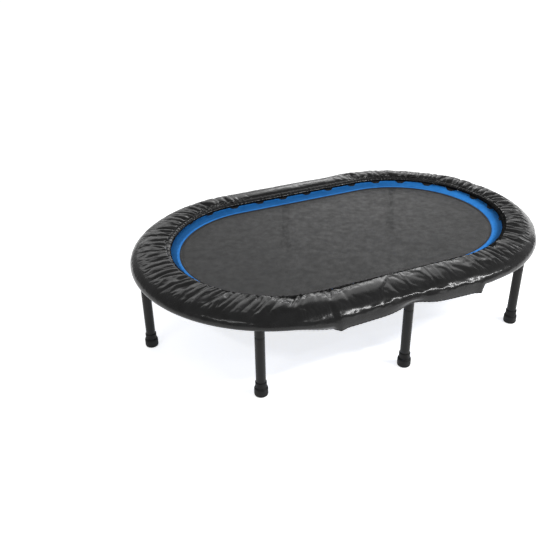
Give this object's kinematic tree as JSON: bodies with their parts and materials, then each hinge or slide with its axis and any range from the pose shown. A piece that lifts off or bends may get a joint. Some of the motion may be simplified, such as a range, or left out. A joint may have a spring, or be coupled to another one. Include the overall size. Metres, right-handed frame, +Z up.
{
  "type": "mini trampoline",
  "caption": "Low oval mini trampoline: flat black mat with a blue border, gathered black vinyl safety pad over the springs, and screw-in tube legs with stepped rubber caps.",
  "frame": {"origin": "on the floor under the middle of the mat, at the centre of the bounding box's bottom", "axes": "+X along the long axis, +Y across it, +Z up from the floor through the mat"},
  "size_m": [1.184, 0.774, 0.2375],
  "materials": {
    "powder_black": "satin black powder coat",
    "bare_steel": "mill finish, inside the frame",
    "zinc": "bright zinc plate",
    "vinyl": "gathered glossy black vinyl-coated cloth",
    "foam": "soft polyethylene foam",
    "backing": "thin black non-woven cloth",
    "mat_cloth": "fine black polypropylene weave",
    "border_blue": "blue woven band",
    "webbing": "black webbing",
    "elastic": "braided elastic",
    "rubber": "moulded black rubber"
  },
  "bodies": {
    "frame": {"frame_bow_left": "powder_black", "frame_bow_right": "powder_black", "frame_rail_front": "powder_black", "frame_rail_back": "powder_black", "frame_sleeves": "bare_steel", "frame_screws": "zinc", "frame_nuts": "zinc", "leg_sockets": "powder_black", "socket_inserts": "bare_steel", "springs": "zinc", "pad_backing": "backing", "pad_foam": "foam", "pad_cover": "vinyl", "pad_elastic_hem": "elastic", "pad_elastic_inner": "elastic", "pad_ties": "elastic"},
    "mat": {"jump_mat": "mat_cloth", "mat_border": "border_blue", "mat_tabs": "webbing", "mat_rings": "zinc"},
    "washer_left": {"leg_washer_left": "rubber"},
    "leg_left": {"leg_tube_left": "powder_black", "leg_stud_left": "zinc", "foot_cap_left": "rubber"},
    "washer_front_left": {"leg_washer_front_left": "rubber"},
    "leg_front_left": {"leg_tube_front_left": "powder_black", "leg_stud_front_left": "zinc", "foot_cap_front_left": "rubber"},
    "washer_front": {"leg_washer_front": "rubber"},
    "leg_front": {"leg_tube_front": "powder_black", "leg_stud_front": "zinc", "foot_cap_front": "rubber"},
    "washer_front_right": {"leg_washer_front_right": "rubber"},
    "leg_front_right": {"leg_tube_front_right": "powder_black", "leg_stud_front_right": "zinc", "foot_cap_front_right": "rubber"},
    "washer_right": {"leg_washer_right": "rubber"},
    "leg_right": {"leg_tube_right": "powder_black", "leg_stud_right": "zinc", "foot_cap_right": "rubber"},
    "washer_back_right": {"leg_washer_back_right": "rubber"},
    "leg_back_right": {"leg_tube_back_right": "powder_black", "leg_stud_back_right": "zinc", "foot_cap_back_right": "rubber"},
    "washer_back": {"leg_washer_back": "rubber"},
    "leg_back": {"leg_tube_back": "powder_black", "leg_stud_back": "zinc", "foot_cap_back": "rubber"},
    "washer_back_left": {"leg_washer_back_left": "rubber"},
    "leg_back_left": {"leg_tube_back_left": "powder_black", "leg_stud_back_left": "zinc", "foot_cap_back_left": "rubber"}
  },
  "joints": [
    {"name": "mat_bounce", "type": "slide", "parent": "frame", "child": "mat", "axis": [0, 0, 1], "range_m": [-0.06, 0], "stiffness_N_per_m": 12000, "deforming": ["springs"]},
    {"name": "leg_left_travel", "type": "slide", "parent": "frame", "child": "washer_left", "axis": [0, 0, 1], "range_m": [-0.0176, 0]},
    {"name": "leg_left_unscrew", "type": "hinge", "parent": "washer_left", "child": "leg_left", "pos_m": [-0.57, 0, 0.171], "axis": [0, 0, 1], "range_deg": [-3600, 0]},
    {"name": "leg_front_left_travel", "type": "slide", "parent": "frame", "child": "washer_front_left", "axis": [0, 0, 1], "range_m": [-0.0176, 0]},
    {"name": "leg_front_left_unscrew", "type": "hinge", "parent": "washer_front_left", "child": "leg_front_left", "pos_m": [-0.38196, -0.31924, 0.171], "axis": [0, 0, 1], "range_deg": [-3600, 0]},
    {"name": "leg_front_travel", "type": "slide", "parent": "frame", "child": "washer_front", "axis": [0, 0, 1], "range_m": [-0.0176, 0]},
    {"name": "leg_front_unscrew", "type": "hinge", "parent": "washer_front", "child": "leg_front", "pos_m": [0, -0.365, 0.171], "axis": [0, 0, 1], "range_deg": [-3600, 0]},
    {"name": "leg_front_right_travel", "type": "slide", "parent": "frame", "child": "washer_front_right", "axis": [0, 0, 1], "range_m": [-0.0176, 0]},
    {"name": "leg_front_right_unscrew", "type": "hinge", "parent": "washer_front_right", "child": "leg_front_right", "pos_m": [0.38196, -0.31924, 0.171], "axis": [0, 0, 1], "range_deg": [-3600, 0]},
    {"name": "leg_right_travel", "type": "slide", "parent": "frame", "child": "washer_right", "axis": [0, 0, 1], "range_m": [-0.0176, 0]},
    {"name": "leg_right_unscrew", "type": "hinge", "parent": "washer_right", "child": "leg_right", "pos_m": [0.57, 0, 0.171], "axis": [0, 0, 1], "range_deg": [-3600, 0]},
    {"name": "leg_back_right_travel", "type": "slide", "parent": "frame", "child": "washer_back_right", "axis": [0, 0, 1], "range_m": [-0.0176, 0]},
    {"name": "leg_back_right_unscrew", "type": "hinge", "parent": "washer_back_right", "child": "leg_back_right", "pos_m": [0.38196, 0.31924, 0.171], "axis": [0, 0, 1], "range_deg": [-3600, 0]},
    {"name": "leg_back_travel", "type": "slide", "parent": "frame", "child": "washer_back", "axis": [0, 0, 1], "range_m": [-0.0176, 0]},
    {"name": "leg_back_unscrew", "type": "hinge", "parent": "washer_back", "child": "leg_back", "pos_m": [0, 0.365, 0.171], "axis": [0, 0, 1], "range_deg": [-3600, 0]},
    {"name": "leg_back_left_travel", "type": "slide", "parent": "frame", "child": "washer_back_left", "axis": [0, 0, 1], "range_m": [-0.0176, 0]},
    {"name": "leg_back_left_unscrew", "type": "hinge", "parent": "washer_back_left", "child": "leg_back_left", "pos_m": [-0.38196, 0.31924, 0.171], "axis": [0, 0, 1], "range_deg": [-3600, 0]}
  ],
  "couplings": [
    {"joint": "leg_left_travel", "follows": "leg_left_unscrew", "m_per_rad": 0.00027852},
    {"joint": "leg_front_left_travel", "follows": "leg_front_left_unscrew", "m_per_rad": 0.00027852},
    {"joint": "leg_front_travel", "follows": "leg_front_unscrew", "m_per_rad": 0.00027852},
    {"joint": "leg_front_right_travel", "follows": "leg_front_right_unscrew", "m_per_rad": 0.00027852},
    {"joint": "leg_right_travel", "follows": "leg_right_unscrew", "m_per_rad": 0.00027852},
    {"joint": "leg_back_right_travel", "follows": "leg_back_right_unscrew", "m_per_rad": 0.00027852},
    {"joint": "leg_back_travel", "follows": "leg_back_unscrew", "m_per_rad": 0.00027852},
    {"joint": "leg_back_left_travel", "follows": "leg_back_left_unscrew", "m_per_rad": 0.00027852}
  ]
}
